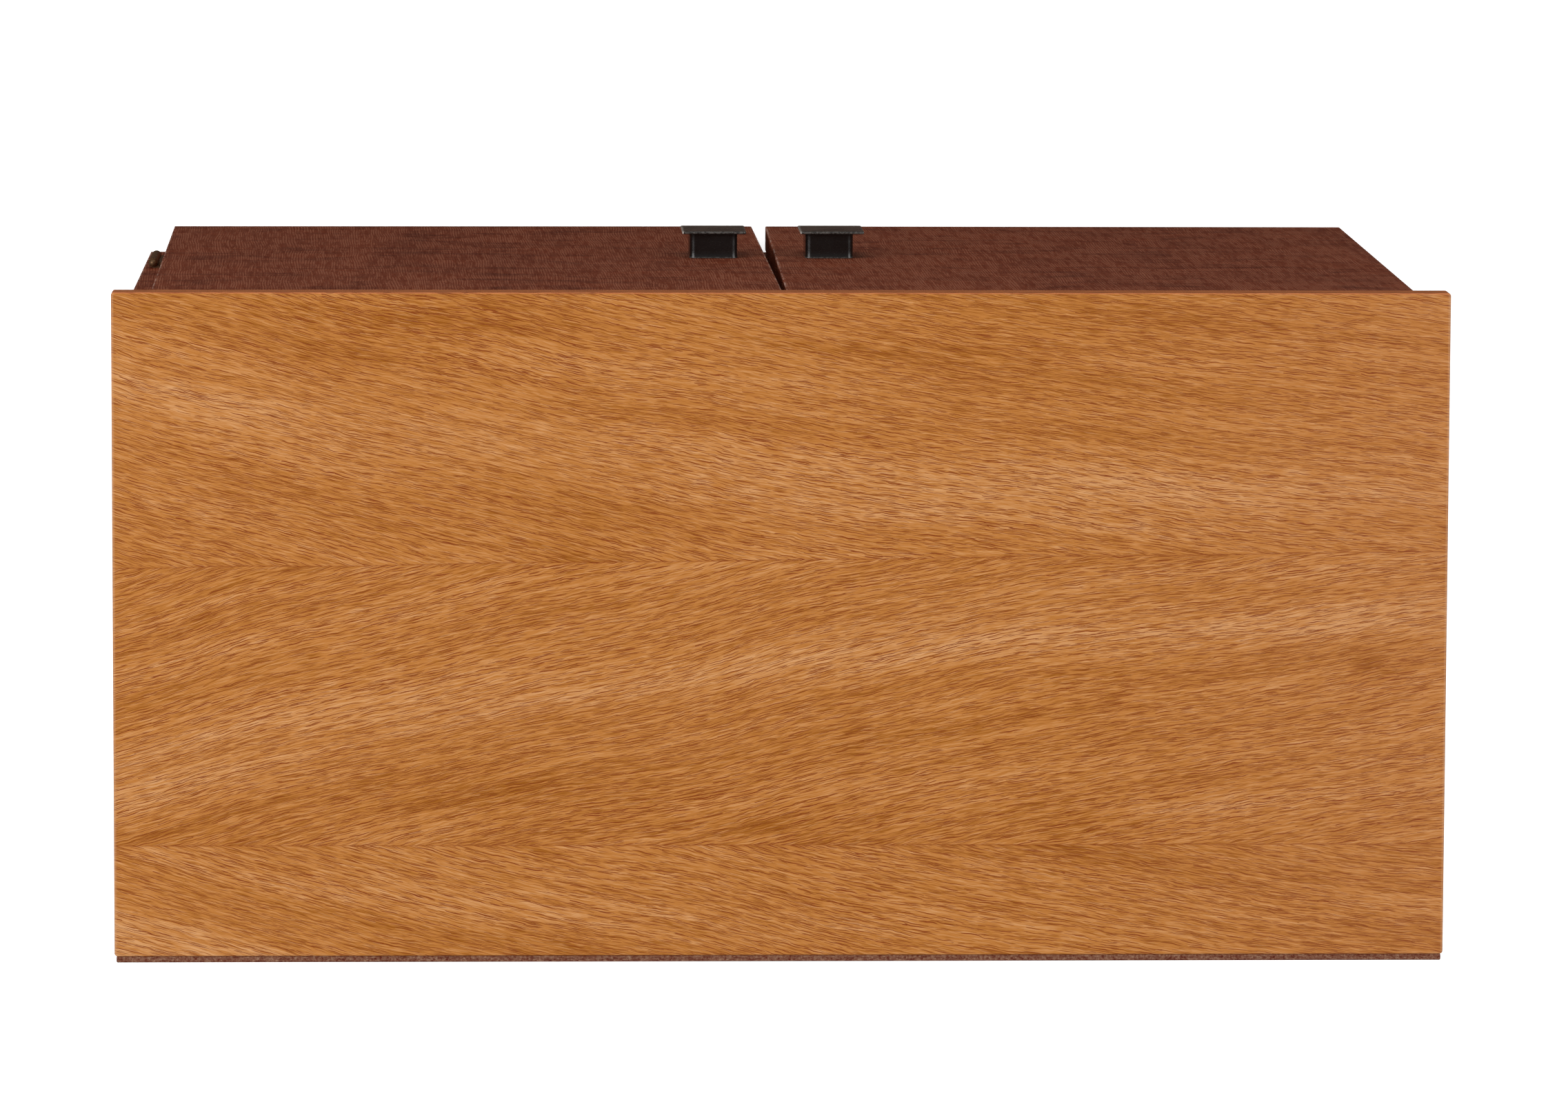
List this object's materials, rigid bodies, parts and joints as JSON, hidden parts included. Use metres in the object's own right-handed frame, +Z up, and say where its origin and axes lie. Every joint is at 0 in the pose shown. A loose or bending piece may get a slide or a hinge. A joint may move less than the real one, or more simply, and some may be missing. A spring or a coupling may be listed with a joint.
{
  "type": "type case cabinet",
  "caption": "Low oak printer's cabinet with an overhanging veneered top, two doors with flat black pulls, and shallow type cases on runners inside.",
  "frame": {"origin": "on the floor at the centre of the footprint's bounding box, handles included", "axes": "+Z up, doors face -Y, +X to the right of somebody who faces the doors"},
  "size_m": [0.9, 0.4732, 0.62],
  "materials": {
    "honey_oak": "satin lacquer over oak veneer",
    "stained_oak": "satin lacquer over dark red-brown stain",
    "plain_oak": "waxed",
    "plywood": "raw, sanded",
    "black_enamel": "gloss black enamel",
    "aged_brass": "aged, browned",
    "brass": "worn",
    "steel": "zinc plated",
    "black_plastic": "matt"
  },
  "bodies": {
    "cabinet": {"top": "honey_oak", "top_lipping": "stained_oak", "side_left": "stained_oak", "side_right": "stained_oak", "bottom": "stained_oak", "back": "plywood", "plinth_rails": "stained_oak", "plinth_ends": "stained_oak", "runners_left": "plain_oak", "runners_right": "plain_oak", "hinge_side_screws": "brass", "catch_left": "black_plastic", "hinge_left_lower_fixed": "aged_brass", "hinge_left_upper_fixed": "aged_brass", "hinge_left_pins": "aged_brass", "catch_right": "black_plastic", "hinge_right_lower_fixed": "aged_brass", "hinge_right_upper_fixed": "aged_brass", "hinge_right_pins": "aged_brass"},
    "door_left": {"door_left": "stained_oak", "handle_left_stem": "black_enamel", "handle_left_plate": "black_enamel", "handle_left_screws": "steel", "hinge_left_lower_door": "aged_brass", "hinge_left_upper_door": "aged_brass", "hinge_left_door_screws": "brass", "strike_left": "steel"},
    "door_right": {"door_right": "stained_oak", "handle_right_stem": "black_enamel", "handle_right_plate": "black_enamel", "handle_right_screws": "steel", "hinge_right_lower_door": "aged_brass", "hinge_right_upper_door": "aged_brass", "hinge_right_door_screws": "brass", "strike_right": "steel"},
    "case_1": {"case_1_frame": "plain_oak", "case_1_floor": "plywood", "case_1_dividers": "plain_oak", "case_1_knob": "aged_brass"},
    "case_2": {"case_2_frame": "plain_oak", "case_2_floor": "plywood", "case_2_dividers": "plain_oak", "case_2_knob": "aged_brass"},
    "case_3": {"case_3_frame": "plain_oak", "case_3_floor": "plywood", "case_3_dividers": "plain_oak", "case_3_knob": "aged_brass"},
    "case_4": {"case_4_frame": "plain_oak", "case_4_floor": "plywood", "case_4_dividers": "plain_oak", "case_4_knob": "aged_brass"},
    "case_5": {"case_5_frame": "plain_oak", "case_5_floor": "plywood", "case_5_dividers": "plain_oak", "case_5_knob": "aged_brass"},
    "case_6": {"case_6_frame": "plain_oak", "case_6_floor": "plywood", "case_6_dividers": "plain_oak", "case_6_knob": "aged_brass"}
  },
  "joints": [
    {"name": "door_left_hinge", "type": "hinge", "parent": "cabinet", "child": "door_left", "pos_m": [-0.4421, -0.20175, 0.3235], "axis": [0, 0, -1], "range_deg": [0, 180]},
    {"name": "door_right_hinge", "type": "hinge", "parent": "cabinet", "child": "door_right", "pos_m": [0.4381, -0.20175, 0.3235], "axis": [0, 0, 1], "range_deg": [0, 180]},
    {"name": "case_1_slide", "type": "slide", "parent": "cabinet", "child": "case_1", "axis": [0, -1, 0], "range_m": [0, 0.018]},
    {"name": "case_2_slide", "type": "slide", "parent": "cabinet", "child": "case_2", "axis": [0, -1, 0], "range_m": [0, 0.018]},
    {"name": "case_3_slide", "type": "slide", "parent": "cabinet", "child": "case_3", "axis": [0, -1, 0], "range_m": [0, 0.018]},
    {"name": "case_4_slide", "type": "slide", "parent": "cabinet", "child": "case_4", "axis": [0, -1, 0], "range_m": [0, 0.018]},
    {"name": "case_5_slide", "type": "slide", "parent": "cabinet", "child": "case_5", "axis": [0, -1, 0], "range_m": [0, 0.018]},
    {"name": "case_6_slide", "type": "slide", "parent": "cabinet", "child": "case_6", "axis": [0, -1, 0], "range_m": [0, 0.018]}
  ]
}
